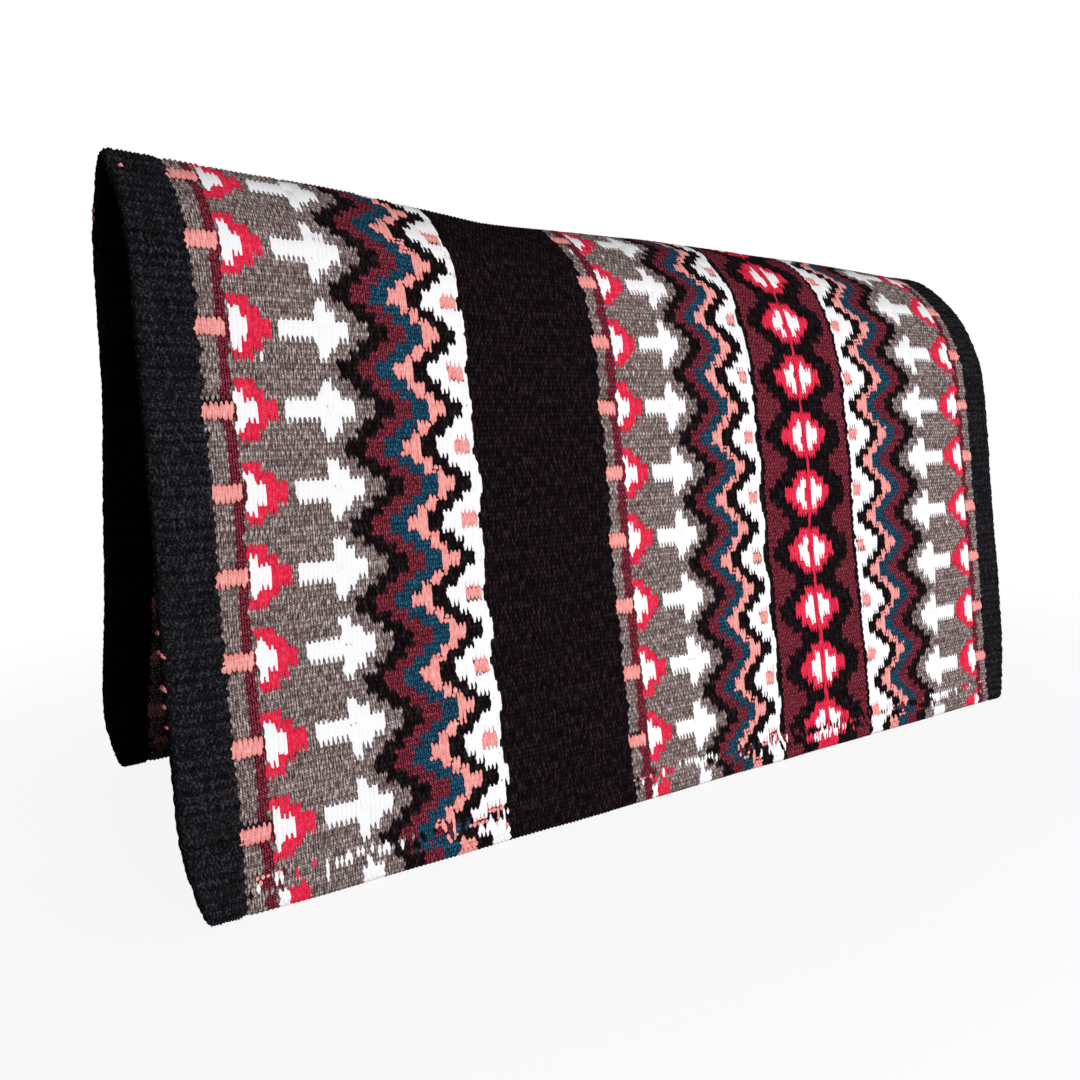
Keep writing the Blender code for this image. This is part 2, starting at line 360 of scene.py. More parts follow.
def grid_faces(rows, columns, closed=False):
    """Quads between neighbouring rows of a grid whose columns may run round."""
    around = columns if closed else columns - 1
    row, column = np.meshgrid(np.arange(rows - 1), np.arange(around), indexing="ij")
    beside = (column + 1) % columns
    start, end = row * columns, (row + 1) * columns
    corners = [start + column, end + column, end + beside, start + beside]
    return np.stack(corners, -1).reshape(-1, 4)


def mesh_from(name, points, faces):
    mesh = bpy.data.meshes.new(name)
    mesh.from_pydata(points.reshape(-1, 3).tolist(), [], faces.tolist())
    mesh.shade_smooth()
    return mesh


def link(name, mesh):
    piece = bpy.data.objects.new(name, mesh)
    bpy.context.scene.collection.objects.link(piece)
    return piece


# For each kind of value that a mesh holds at its points: its field's name, and the number's kind
POINT_VALUES = {
    "FLOAT_VECTOR": ("vector", np.float32), "FLOAT": ("value", np.float32), "INT": ("value", np.int32),
}


def keep_at_points(mesh, kind, /, **named):
    """Writes named values of one kind to a mesh, one for each point."""
    field, number = POINT_VALUES[kind]
    for name, values in named.items():
        held = mesh.attributes.new(name, kind, "POINT")
        held.data.foreach_set(field, values.reshape(-1).astype(number))


def x_stations(last_turn):
    """Places along the ridge: close round the free edges and by the grooves."""
    turn = np.linspace(0, last_turn, STATIONS_ROUND)
    end = BEND_START + turn * CORE_HALF
    edge = np.linspace(HALF_LENGTH - EDGE_ZONE, BEND_START, STATIONS_BESIDE)[:-1]
    middle = np.linspace(0, HALF_LENGTH - EDGE_ZONE, STATIONS_ALONG)[:-1]
    half = np.concatenate([middle, edge, end])
    return np.concatenate([-half[:0:-1], half])


def laid_web():
    """Helper surface with the flat cloth coordinates as its UV map, for laying yarn on."""
    outer = np.linspace(0, HEM_WARP, MAP_OUTER)
    cap = HEM_WARP + CAP_WARPS * np.linspace(0, 1, MAP_CAP)[1:]
    inner = np.linspace(HEM_WARP + CAP_WARPS, INNER_WARPS + MAP_SPARE_WARPS, MAP_INNER)[1:]
    way = np.concatenate([outer, cap, inner]) * WARP_PITCH
    around = np.concatenate([-way[:0:-1], way])
    flat_x, flat_y = np.meshgrid(x_stations(MAP_TURN), around, indexing="ij")
    points, normals = on_web(flat_x, flat_y)
    faces = grid_faces(*flat_x.shape)
    mesh = mesh_from("laid_web", points, faces)
    keep_at_points(mesh, "FLOAT_VECTOR", outward=normals)
    flat = mesh.uv_layers.new(name="flat")
    at = np.stack([flat_x, flat_y], -1).reshape(-1, 2)[faces.reshape(-1)]
    flat.uv.foreach_set("vector", at.reshape(-1).astype(np.float32))
    return link("laid_web", mesh)


def core_mesh(name, around):
    """Closed slab of the web inside the yarn, over a closed loop of warp places."""
    flat_x, flat_y = np.meshgrid(x_stations(CORE_TURN), around * WARP_PITCH, indexing="ij")
    points, _ = on_web(flat_x, flat_y)
    points[..., 2] = np.maximum(points[..., 2], CORE_OVER_FLOOR)
    rows, columns = flat_x.shape
    faces = [grid_faces(rows, columns, closed=True)]
    outer = np.arange(columns // 2 - 1)
    inner = columns - 1 - outer
    end = np.stack([outer, outer + 1, inner - 1, inner], -1)
    faces += [end, end[:, ::-1] + (rows - 1) * columns]
    return mesh_from(name, points, np.vstack(faces))


def loop_of(body):
    """Warp places round one drape or over the ridge, outer face first and inner face back."""
    if body == "ridge":
        outer = np.linspace(-CUT_WARP, CUT_WARP, CORE_RIDGE)
        inner = np.where(outer >= 0, INNER_WARPS - outer, -INNER_WARPS - outer)
        return np.concatenate([outer, inner[::-1]])
    outer = np.linspace(CUT_WARP, HEM_WARP, CORE_OUTER)
    cap = HEM_WARP + CAP_WARPS * np.linspace(0, 1, CORE_CAP)[1:-1]
    way = np.concatenate([outer, cap, INNER_WARPS - outer[::-1]])
    return way if body == "far_drape" else -way


# The pattern

def between(u, low, high):
    return (u >= low) & (u < high)


def border_yarn(border, u, level):
    """Yarn of a border at u millimetres from its outer edge, on a level 0 to 3 away from a row."""
    yarn = np.full(u.shape, GREY)
    for start, colour in zip(border.stripes, STRIPE_YARNS):
        yarn[u >= start - border.step * level] = colour
    at_row, near_row, far_row, half_row = (level == k for k in range(LEVELS))
    yarn[~at_row & between(u, *border.line)] = BURGUNDY
    yarn[u < CHARCOAL_LAP] = CHARCOAL
    yarn[at_row & between(u, *border.block)] = SALMON
    yarn[at_row & between(u, *border.thin)] = BURGUNDY
    for where, (start, middle, end) in ((at_row, border.motif), (near_row, border.motif_step)):
        yarn[where & between(u, start, middle)] = WHITE
        yarn[where & between(u, middle, end)] = CRIMSON
    yarn[far_row & between(u, *border.motif_top)] = CRIMSON
    stem, bar, bar_end, arm_end, tip = border.cross
    yarn[at_row & between(u, stem, tip)] = WHITE
    yarn[near_row & between(u, bar, arm_end)] = WHITE
    yarn[far_row & between(u, bar, bar_end)] = WHITE
    yarn[half_row & between(u, *border.dot)] = SALMON
    row_edge, half_edge = border.edge
    yarn[u >= row_edge + (half_edge - row_edge) * level / (LEVELS - 1)] = BLACK
    return yarn


def centre_yarn(mm, level):
    """Yarn of the centre band: ovals on the half rows, black diamonds on a burgundy ground."""
    off_axis = mm - CENTRE_AXIS
    yarn = np.where(between(mm, *CENTRE_GROUND), BURGUNDY, BLACK)
    for k, (black, oval, whites) in enumerate(zip(CENTRE_BLACK, OVAL, OVAL_WHITE)):
        here = level == k
        yarn[here & between(off_axis, -black[0], black[1])] = BLACK
        yarn[here & between(off_axis, -oval[0], oval[1])] = CRIMSON
        for low, high in whites:
            yarn[here & between(off_axis, low, high)] = WHITE
    return yarn


# Uneven numbers that scramble the digits of a sine
SCRAMBLE_A, SCRAMBLE_B, SCRAMBLE_SALT, SCRAMBLE_SIZE = 12.9898, 78.233, 37.719, 43758.5453


def speck(a, b, salt):
    """Repeatable number from 0 to 1 for whole numbers a and b."""
    value = np.sin(a * SCRAMBLE_A + b * SCRAMBLE_B + salt * SCRAMBLE_SALT) * SCRAMBLE_SIZE
    return value - np.floor(value)


def yarn_at(mm, warp):
    """Yarn of the float at mm from the front edge, on a warp counted from the ridge."""
    from_ridge = np.where(warp < 0, -1 - warp, warp)
    in_rows = (from_ridge + 0.5) / WARPS_PER_ROW - 0.5
    row = np.round(in_rows)
    level = np.clip(np.floor(abs(in_rows - row) * 2 * LEVELS), 0, LEVELS - 1).astype(int)
    side = np.where(warp < 0, 1, 2)
    pull = ROW_PULL * (speck(row, level, 1) - 0.5)
    pull = pull + LEVEL_PULL * (speck(row * LEVELS + level, side, 2) - 0.5)
    hem = between(from_ridge, *TURNED_BACK)
    scatter = DARN_STRAY * (speck(np.round(mm / DARN_LENGTH), from_ridge, 3) - 0.5) * hem
    mm = mm + pull + scatter
    wrong = hem & (speck(np.round(mm / WRONG_LENGTH), from_ridge, 4) > RIGHT_SHARE)
    level = np.where(wrong, (level + 1) % LEVELS, level)
    level = np.where(from_ridge >= HEM_WARP - 1, np.maximum(level, 1), level)
    yarn = np.full(mm.shape, BLACK)
    for border in (FRONT_BORDER, MIDDLE_BORDER, REAR_BORDER):
        u = (mm - border.outer) * border.way
        inside = between(u, -BORDER_LAPS[0], border.edge[0] + BORDER_LAPS[1])
        yarn = np.where(inside, border_yarn(border, u, level), yarn)
    centre = between(mm, CENTRE_GROUND[0] - CENTRE_LAP, CENTRE_GROUND[1] + CENTRE_LAP)
    yarn = np.where(centre & (yarn != WHITE), centre_yarn(mm, level), yarn)
    yarn = np.where((yarn == CHARCOAL) & between(mm, *MIDDLE_BORDER_START), BLACK, yarn)
    stray = speck(np.round(mm * SPECK_PLACES), from_ridge + side * SIDE_SEED, 5)
    return np.where((yarn == GREY) & (stray < SPECK_SHARE + DARN_SPECK_SHARE * hem), WHITE, yarn)


# Floats of yarn, in flat cloth coordinates

LEAF, PLAIN_LEAF, FIBRE = range(3)
Floats = namedtuple("Floats", "mm warp length width crown lift turn yarn kind")

# Small differences of hand work: shares of a float's width and crown, and degrees that it turns
WIDTH_SHARES, CROWN_SHARES = (0.95, 1.05), (0.84, 1.0)
GROUND_TURN, BRIGHT_TURN = 2.5, 0.8

# How far beaten rows stand proud: in waves along a row, with their lengths in millimetres per
# radian and the spread of their phases, and by whole pairs of warps
ROW_WAVE_HEIGHT, PAIR_HEIGHT = 0.14 * MM, 0.16 * MM
SHORT_WAVE, LONG_WAVE = 17, 41
SHORT_PHASE, LONG_PHASE_SHARE = 6.3, 2.6


def lattice(spacing, start, end, first, last):
    """Staggered places of floats: (mm, warp) arrays over a band of warps."""
    columns = np.arange(math.ceil(start / spacing - 0.5), math.floor(end / spacing + 0.5) + 1)
    column, warp = np.meshgrid(columns, np.arange(first, last), indexing="ij")
    return (column + 0.5 * (warp % 2)) * spacing, warp


def row_lift(mm, warp):
    """Beaten rows stand a little proud of one another, unevenly along their length."""
    phase = SHORT_PHASE * speck(warp, 1, 7)
    wave = np.sin(mm / SHORT_WAVE + phase) + np.sin(mm / LONG_WAVE + LONG_PHASE_SHARE * phase)
    pair = 2 * speck(np.floor(warp / 2), 3, 8) - 1
    return ROW_WAVE_HEIGHT * wave + PAIR_HEIGHT * pair


def floats(
    mm, warp, yarn, random, length=FLOAT_LENGTH, width=1.0, crown=1.0, turn=GROUND_TURN, kind=LEAF
):
    """Floats of one kind with the small differences of hand work. warp is a float's middle."""
    count = len(mm)
    whole = np.ones(count)
    return Floats(
        mm, warp, whole * length, FLOAT_WIDTH * width * random.uniform(*WIDTH_SHARES, count),
        CROWN_HEIGHT * crown * random.uniform(*CROWN_SHARES, count), row_lift(mm, np.floor(warp)),
        random.normal(0, math.radians(turn), count), yarn * np.ones(count), whole * kind,
    )


# Warps that one bright float passes at most: a longer one would sink into the core at a bend
LONGEST_RUN = 6

# Bright floats on even warps lie over their neighbours. How much a float's length varies, in warps,
# and how thin the line along the centre band is
OVER_CROWN, UNDER_CROWN = 1.12, 0.72
REACH_SPREAD, REACH_LIMIT = 0.3, 0.6
CENTRE_LINE_WIDTH = 0.34


def bright_runs(yarn, inside):
    """(column, first, last) of each run of one bright yarn, taken on every second warp."""
    bright = inside & np.isin(yarn, BRIGHT)
    for column, first in zip(*np.nonzero(bright)):
        before = yarn[column, first - 2] if first >= 2 else -1
        if before == yarn[column, first]:
            continue
        last = first
        while last + 2 < yarn.shape[1] and yarn[column, last + 2] == yarn[column, first]:
            last += 2
        pieces = max(1, round((last - first + 2) / LONGEST_RUN))
        cuts = np.linspace(first, last + 2, pieces + 1)
        cuts = first + 2 * np.round((cuts - first) / 2).astype(int)
        for low, high in zip(cuts, cuts[1:]):
            yield column, low, high - 2


def woven_places(start, end, first, last):
    """Places of a band's floats, their yarns, and which of them lie inside the band."""
    mm, warp = lattice(PICK_SPACING / MM, start, end, first, last)
    return mm, warp, yarn_at(mm, warp), between(mm, start, end)


def woven_floats(start, end, first, last, random):
    """Floats of the outer face: the ground in short floats, bright yarns in long ones over it."""
    mm, warp, yarn, inside = woven_places(start, end, first, last)
    short = inside & ~np.isin(yarn, BRIGHT)
    made = [floats(mm[short], warp[short] + 0.5, yarn[short], random)]
    runs = np.array(list(bright_runs(yarn, inside))).reshape(-1, 3)
    if len(runs):
        column, low, high = runs.T
        over = warp[column, low] % 2 == 0
        middle = (warp[column, low] + warp[column, high]) / 2 + 0.5
        colour = yarn[column, low]
        reach = np.select([colour == key for key in REACH], list(REACH.values()))
        reach = np.where(over, reach, np.minimum(reach, 0))
        reach = reach + random.normal(0, REACH_SPREAD, len(low)).clip(-REACH_LIMIT, REACH_LIMIT)
        length = FLOAT_LENGTH + (high - low + reach) * WARP_PITCH
        crown = np.where(over, OVER_CROWN, UNDER_CROWN)
        at = mm[column, low]
        width = np.where(abs(at - CENTRE_AXIS) < CENTRE_LINE, CENTRE_LINE_WIDTH, 1.0)
        made.append(floats(at, middle, colour, random, length, width, crown, BRIGHT_TURN))
    return made


def plain_floats(start, end, first, last, random):
    """Short floats alone, as round the hem and on the inner face."""
    mm, warp, yarn, inside = woven_places(start, end, first, last)
    return floats(mm[inside], warp[inside] + 0.5, yarn[inside], random)


# Node trees and materials

MATH, VECTOR_MATH = "ShaderNodeMath", "ShaderNodeVectorMath"
SPLIT, COMBINE = "ShaderNodeSeparateXYZ", "ShaderNodeCombineXYZ"
MAP_RANGE, COMPARE = "ShaderNodeMapRange", "FunctionNodeCompare"
STORE, SET_POSITION = "GeometryNodeStoreNamedAttribute", "GeometryNodeSetPosition"


def node(tree, kind, sockets=(), operation=None, **settings):
    """Adds a node. sockets gives its inputs in order, or by name or number.

    Each is a value, the output that feeds it, or a node that feeds it from its first output. A
    list feeds an input that takes several.
    """
    made = tree.nodes.new(kind)
    if operation:
        made.operation = operation
    for name, value in settings.items():
        setattr(made, name, value)
    named = sockets if isinstance(sockets, dict) else dict(enumerate(sockets))
    for key, values in named.items():
        for value in values if isinstance(values, list) else [values]:
            if isinstance(value, bpy.types.Node):
                value = value.outputs[0]
            if isinstance(value, bpy.types.NodeSocket):
                tree.links.new(value, made.inputs[key])
            else:
                made.inputs[key].default_value = value
    return made


def linear(colour):
    """Linear colour of an sRGB hex value."""
    parts = [int(colour[k : k + 2], 16) / 255 for k in (1, 3, 5)]
    parts = [c / 12.92 if c <= 0.04045 else ((c + 0.055) / 1.055) ** 2.4 for c in parts]
    return (*parts, 1.0)


def empty_material(name):
    """A material without nodes, and the function that adds one to it."""
    material = bpy.data.materials.new(name)
    material.use_nodes = True
    material.node_tree.nodes.clear()
    return material, partial(node, material.node_tree)


DyeAndShade = namedtuple("DyeAndShade", "dark plain light twist fleck grain rib rib_warps tint")

# Plied wool with light and shade painted in: the painted shade between yarns, the yarn, and the
# painted highlight on its crown, which are also the darkest and lightest flecks. Then how much these
# show: the painted light and shade of the ply's twist, the flecks with their grain per millimetre
# across and along, the painted shade of the ribs over the warps below and of the uneven rows, with
# how many warps make one rib, and the difference between floats. A wool fibre is some hundredths of
# a millimetre thick, so the flecks stand for tufts and are drawn coarser
DYES_AND_SHADES = {
    "charcoal": DyeAndShade("#040405", "#141316", "#46444a", 0.08, 0.48, (0.70, 0.70), 0.14, 2, 0.14),
    "black": DyeAndShade("#020101", "#130c0e", "#3b3033", 0.16, 0.44, (0.50, 0.13), 0.09, 1, 0.08),
    "grey": DyeAndShade("#20171a", "#74625f", "#e2d5d3", 0.50, 0.52, (0.95, 0.16), 0.09, 1, 0.08),
    "burgundy": DyeAndShade("#22030a", "#621a27", "#b35365", 0.80, 0.42, (0.70, 0.35), 0.04, 1, 0.04),
    "crimson": DyeAndShade("#a6082a", "#e8284a", "#ff6078", 0.42, 0.28, (0.60, 0.30), 0.03, 1, 0.08),
    "white": DyeAndShade("#e2e0e8", "#fdfcfe", "#ffffff", 0.05, 0.06, (0.60, 0.20), 0.0, 1, 0.02),
    "salmon": DyeAndShade("#d55558", "#f69f99", "#ffdcd7", 0.46, 0.30, (0.70, 0.22), 0.03, 1, 0.06),
    "teal": DyeAndShade("#02101c", "#10364c", "#4b88aa", 0.62, 0.30, (0.60, 0.40), 0.05, 1, 0.06),
    "loose": DyeAndShade("#252327", "#3c3a3f", "#6b686e", 0.0, 0.2, (0.6, 0.6), 0.0, 1, 0.3),
}

# The twist of the plies, in millimetres, and how far flecks and floats put it out of step
PLY_SPACING = 1.45
PLY_ANGLE = math.radians(40)
PLY_DIRECTION = (math.sin(PLY_ANGLE), math.cos(PLY_ANGLE), 0)
FLECK_SHIFT, FLOAT_SHIFT = 1.2, 2.5

# Painted shade of uneven rows: patches stretched along the rows, per millimetre, and where each is cut
# off
ROW_SHADE_SCALE = (0.028, 0.22)
FLECK_DETAIL, ROW_DETAIL = 2.5, 2.0
FLECK_CUTS, ROW_CUTS = (0.33, 0.67), (0.3, 0.7)
NOISE_ROUGHNESS = 0.6

# Painted shade and highlight from each float's height: from its foot to its crown, the colour runs
# over this much of the ramp, dark at the foot and light on top
SHADE_FOOT, SHADE_RISE = 0.22, 0.45

# Wool and cotton have hardly any gloss. Their relief is at most about a fifth of a millimetre
FIBRE_ROUGHNESS, FIBRE_SPECULAR, RELIEF = 0.95, 0.04, 0.2 * MM
WOOL_RELIEF, PLY_RELIEF, COTTON_RELIEF = 0.5, 1.5, 0.4
# The core's near-black colours are painted shade of the deep gaps between floats
COTTON_SHADE_DARK, COTTON_SHADE_LIGHT = "#0b090a", "#262123"
COTTON_GRAIN, COTTON_DETAIL = (900.0, 300.0, 300.0), 3.0


def matt_fibre(add, colour, relief, strength):
    """Ends a material as fibre: matt, with a fine relief."""
    bump = add("ShaderNodeBump", {"Height": relief, "Strength": strength, "Distance": RELIEF})
    sockets = {
        "Base Color": colour, "Normal": bump, "Roughness": FIBRE_ROUGHNESS,
        "Specular IOR Level": FIBRE_SPECULAR,
    }
    add("ShaderNodeOutputMaterial", {"Surface": add("ShaderNodeBsdfPrincipled", sockets)})


def dyed_wool_with_painted_shade(name, dye_and_shade):
    """Two-ply dyed wool, matt, with painted shade between the floats and painted light and shade on
    each float's pair of twisting plies.
    """
    material, add = empty_material(f"{name}_plied_wool")
    crown = add("ShaderNodeAttribute", attribute_name="crown").outputs["Fac"]
    tint = add("ShaderNodeAttribute", attribute_name="tint").outputs["Fac"]
    cloth = add("ShaderNodeUVMap", uv_map="cloth")
    strand = add("ShaderNodeUVMap", uv_map="strand")

    def mottle(grain, detail, cuts):
        """Uneven patches on the flat cloth, from -0.5 to 0.5."""
        place = add(VECTOR_MATH, (cloth, (*grain, 1)), "MULTIPLY")
        sockets = {"Vector": place, "Scale": 1.0, "Detail": detail, "Roughness": NOISE_ROUGHNESS}
        patches = add("ShaderNodeTexNoise", sockets, noise_dimensions="2D")
        return add(MAP_RANGE, (patches, *cuts, -0.5, 0.5))

    fleck = mottle(dye_and_shade.grain, FLECK_DETAIL, FLECK_CUTS)
    # Painted shade of uneven rows, in patches along them
    rows = mottle(ROW_SHADE_SCALE, ROW_DETAIL, ROW_CUTS)

    # Painted shade of two plies side by side, dark along the line between them, and painted light and
    # shade crossing each ply along the twist
    plies = add(MATH, (add(SPLIT, (strand,)), 2 * math.pi), "MULTIPLY")
    for operation in ("SINE", "ABSOLUTE"):
        plies = add(MATH, (plies,), operation)
    slant = add(VECTOR_MATH, (cloth, PLY_DIRECTION), "DOT_PRODUCT").outputs["Value"]
    shift = add(MATH, (tint, FLOAT_SHIFT), "MULTIPLY")
    shift = add(MATH, (fleck, FLECK_SHIFT, shift), "MULTIPLY_ADD")
    phase = add(MATH, (slant, 2 * math.pi / PLY_SPACING, shift), "MULTIPLY_ADD")
    twist = add(MATH, (phase,), "SINE")
    for amount, rest in ((0.5, 0.5), (0.6, 0.5)):
        twist = add(MATH, (twist, amount, rest), "MULTIPLY_ADD")
    plied = add(MATH, (plies, twist, -0.5), "MULTIPLY_ADD")

    # Painted shade of the ribs: darker where the floats sink between rows, following the warps below
    down = add(SPLIT, (cloth,)).outputs[1]
    rib_turns = 2 * math.pi * MM / WARP_PITCH / dye_and_shade.rib_warps
    rib = add(MATH, (down, rib_turns, math.pi), "MULTIPLY_ADD")
    rib = add(MATH, (rib,), "COSINE")

    # Painted shade at the foot of each float and painted highlight on its crown, from its height
    shade = add(MATH, (crown, SHADE_RISE, SHADE_FOOT), "MULTIPLY_ADD")
    shown = (
        (plied, dye_and_shade.twist), (fleck, dye_and_shade.fleck), (rows, dye_and_shade.rib), (rib, 0.5 * dye_and_shade.rib),
        (tint, dye_and_shade.tint),
    )
    for value, amount in shown:
        shade = add(MATH, (value, amount, shade), "MULTIPLY_ADD")
    ramp = add("ShaderNodeValToRGB", (add(MATH, (shade, 0.0), "MAXIMUM"),))
    stops = ramp.color_ramp.elements
    stops[0].color, stops[1].color = linear(dye_and_shade.dark), linear(dye_and_shade.light)
    stops.new(0.5).color = linear(dye_and_shade.plain)
    relief = add(MATH, (plied, PLY_RELIEF, fleck), "MULTIPLY_ADD")
    matt_fibre(add, ramp, relief, WOOL_RELIEF)
    return material


def warp_cotton_in_painted_shade():
    """Tightly spun warp cotton below the wool: matt, with a fine uneven fibre, and nearly black as
    painted shade where it shows in the gaps between floats.

    The grain is one to three millimetres, far coarser than the real fibre, which wouldn't show.
    """
    material, add = empty_material("warp_cotton_painted_shade")
    place = add("ShaderNodeTexCoord").outputs["Object"]
    stretched = add(VECTOR_MATH, (place, COTTON_GRAIN), "MULTIPLY")
    sockets = {"Vector": stretched, "Scale": 1.0, "Detail": COTTON_DETAIL}
    fibre = add("ShaderNodeTexNoise", sockets)
    ramp = add("ShaderNodeValToRGB", (fibre,))
    stops = ramp.color_ramp.elements
    stops[0].color, stops[1].color = linear(COTTON_SHADE_DARK), linear(COTTON_SHADE_LIGHT)
    matt_fibre(add, ramp, fibre, COTTON_RELIEF)
    return material


# The tree that lays the yarn

# Columns and rows of points in a float of each kind, and how near the points of a tip are merged
LEAF_GRIDS = {LEAF: (3, 5), PLAIN_LEAF: (3, 3), FIBRE: (2, 6)}
MERGE_DISTANCE = 1e-5

# How sharply a leaf narrows to its tips and its crown drops, as powers of the way to the tip, and
# the share of the tip length that lies past the shoulder
TAPER_POWER, CROWN_POWER = 3.0, 2.0
TIP_SHARE = 0.55

# Floats overlap on the cloth. On the map for baking each keeps this share of its size, so that
# they lie apart
APART_SHARE = 0.72

# What the points and the web hold for the tree, by kind
TREE_VALUES = {
    "FLOAT_VECTOR": ("home", "size", "map_low", "map_size", "shape_place", "outward", "flat"),
    "FLOAT": ("crown", "curl", "turn"),
    "INT": ("kind", "yarn"),
}
NEEDED_WHILE_LAYING = (
    "home", "size", "map_low", "map_size", "shape_place", "curl", "turn", "kind", "yarn",
)


def leaf_shape(add, kind, place):
    """A flat float one unit long and wide, which narrows to its tips and holds its crown."""
    columns, rows = LEAF_GRIDS[kind]
    sockets = {"Size X": 1.0, "Size Y": 1.0, "Vertices X": columns, "Vertices Y": rows}
    grid = add("GeometryNodeMeshGrid", sockets)
    across, along, _ = add(SPLIT, (place,)).outputs
    reach = add(MATH, (along, 2.0), "MULTIPLY")
    reach = add(MATH, (reach,), "ABSOLUTE")
    if kind == FIBRE:
        taper = 1.0
        fall = add(MATH, (reach, reach), "MULTIPLY")
        crown = add(MATH, (1.0, fall), "SUBTRACT")
    else:
        taper = add(MATH, (reach, TAPER_POWER), "POWER")
        taper = add(MATH, (1.0, taper), "SUBTRACT")
        over = add(MATH, (across, across), "MULTIPLY")
        over = add(MATH, (over, 4.0), "MULTIPLY")
        over = add(MATH, (1.0, over), "SUBTRACT")
        fall = add(MATH, (reach, CROWN_POWER), "POWER")
        fall = add(MATH, (1.0, fall), "SUBTRACT")
        crown = add(MATH, (over, fall), "MULTIPLY")
    grid = add(STORE, {"Geometry": grid, "Name": "crown", "Value": crown}, data_type="FLOAT")
    narrowed = add(COMBINE, (add(MATH, (across, taper), "MULTIPLY"), along))
    grid = add(SET_POSITION, {"Geometry": grid, "Position": narrowed})
    grid = add("GeometryNodeMergeByDistance", {"Geometry": grid, "Distance": MERGE_DISTANCE})
    grid = add("GeometryNodeSetShadeSmooth", {"Geometry": grid})
    sockets = {"Geometry": grid, "Name": "shape_place", "Value": place}
    return add(STORE, sockets, data_type="FLOAT_VECTOR")


def all_leaves(add, points, place, kind_held):
    """A leaf on every point, each of its point's kind."""
    placed = []
    for kind in LEAF_GRIDS:
        leaf = leaf_shape(add, kind, place)
        wanted = add(COMPARE, {2: kind_held, 3: kind}, "EQUAL", data_type="INT")
        sockets = {"Points": points, "Selection": wanted, "Instance": leaf}
        placed.append(add("GeometryNodeInstanceOnPoints", sockets))
    joined = add("GeometryNodeJoinGeometry", (placed,))
    return add("GeometryNodeRealizeInstances", (joined,))


def full_size(add, leaves, held, sizes):
    """Leaves stretched to their sizes, turned and put in their places on the flat cloth.

    Only a leaf's tips are drawn out, so that long and short floats end alike.
    """
    across, along, _ = add(SPLIT, (held["shape_place"],)).outputs
    width, length, crown_height = add(SPLIT, (held["size"],)).outputs
    half = add(MATH, (length, 0.5), "MULTIPLY")
    tip = add(MATH, (sizes["Tip Length"], half), "MINIMUM")
    shoulder = add(MATH, (tip, -TIP_SHARE, half), "MULTIPLY_ADD")
    reach = add(MATH, (along, 2.0), "MULTIPLY")
    reach = add(MATH, (reach,), "ABSOLUTE")
    to_shoulder = add(MATH, (reach, 2.0), "MULTIPLY")
    to_shoulder = add(MATH, (to_shoulder, 1.0), "MINIMUM")
    to_shoulder = add(MATH, (to_shoulder, shoulder), "MULTIPLY")
    to_tip = add(MATH, (reach, 2.0, -1.0), "MULTIPLY_ADD")
    to_tip = add(MATH, (to_tip, 0.0), "MAXIMUM")
    tip_room = add(MATH, (half, shoulder), "SUBTRACT")
    to_tip = add(MATH, (to_tip, tip_room), "MULTIPLY")
    lengthwise = add(MATH, (to_shoulder, to_tip), "ADD")
    sign = add(MATH, (along,), "SIGN")
    lengthwise = add(MATH, (sign, lengthwise), "MULTIPLY")
    along_mm = add(MATH, (lengthwise, 1 / MM), "MULTIPLY")
    strand = add(COMBINE, (across, along_mm))
    sockets = {"Geometry": leaves, "Name": "strand", "Value": strand}
    leaves = add(STORE, sockets, data_type="FLOAT2", domain="CORNER")

    curl = add(MATH, (reach, reach), "MULTIPLY")
    curl = add(MATH, (curl, held["curl"]), "MULTIPLY")
    crosswise = add(MATH, (across, width, curl), "MULTIPLY_ADD")
    rise = add(MATH, (crown_height, sizes["Sunk Edge"]), "ADD")
    sink = add(MATH, (sizes["Sunk Edge"], -1.0), "MULTIPLY")
    height = add(MATH, (held["crown"], rise, sink), "MULTIPLY_ADD")
    local = add(COMBINE, (crosswise, lengthwise, height))
    sockets = {"Vector": local, "Angle": held["turn"]}
    turned = add("ShaderNodeVectorRotate", sockets, rotation_type="Z_AXIS")
    placed = add(VECTOR_MATH, (turned, held["home"]), "ADD")
    return add(SET_POSITION, {"Geometry": leaves, "Position": placed})


def mapped(add, leaves, held, place):
    """Leaves with the map for baking and the map of the flat cloth in millimetres."""
    sockets = {0: APART_SHARE, 4: held["home"], 5: place}
    apart = add("ShaderNodeMix", sockets, data_type="VECTOR").outputs[1]
    on_map = add(VECTOR_MATH, (apart, held["map_low"]), "SUBTRACT")
    on_map = add(VECTOR_MATH, (on_map, held["map_size"]), "DIVIDE")
    in_mm = add(VECTOR_MATH, {0: place, "Scale": 1 / MM}, "SCALE")
    for name, value in (("OFBake", on_map), ("cloth", in_mm)):
        sockets = {"Geometry": leaves, "Name": name, "Value": value}
        leaves = add(STORE, sockets, data_type="FLOAT2", domain="CORNER")
    return leaves


